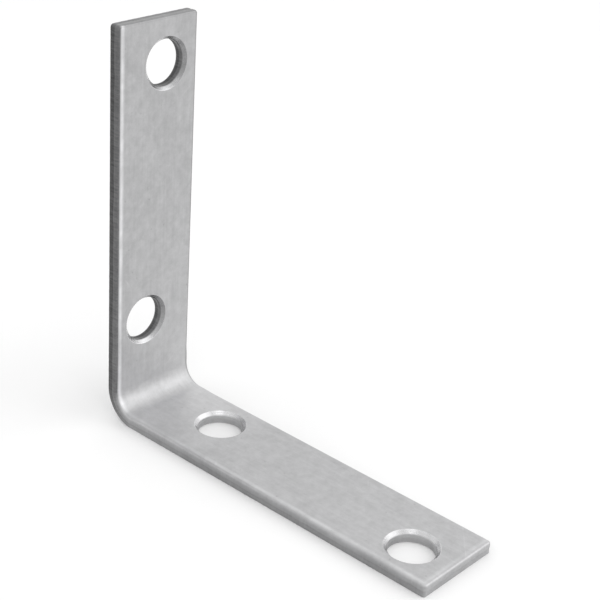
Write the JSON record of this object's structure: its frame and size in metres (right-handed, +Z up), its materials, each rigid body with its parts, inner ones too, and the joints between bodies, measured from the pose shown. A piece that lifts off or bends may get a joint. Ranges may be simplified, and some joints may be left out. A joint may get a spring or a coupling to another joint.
{
  "type": "corner brace bracket",
  "caption": "Right-angle corner brace folded from one zinc-plated steel strip, with staggered countersunk screw holes in both legs.",
  "frame": {"origin": "mid-width point of the outer corner, where the planes of the foot's underside and the upright's back face meet", "axes": "+X along the foot towards its tip, +Y across the strip, +Z up the upright towards its tip"},
  "size_m": [0.05, 0.0122, 0.05],
  "materials": {
    "zinc": "zinc-plated"
  },
  "bodies": {
    "root": {"brace": "zinc"}
  },
  "joints": []
}
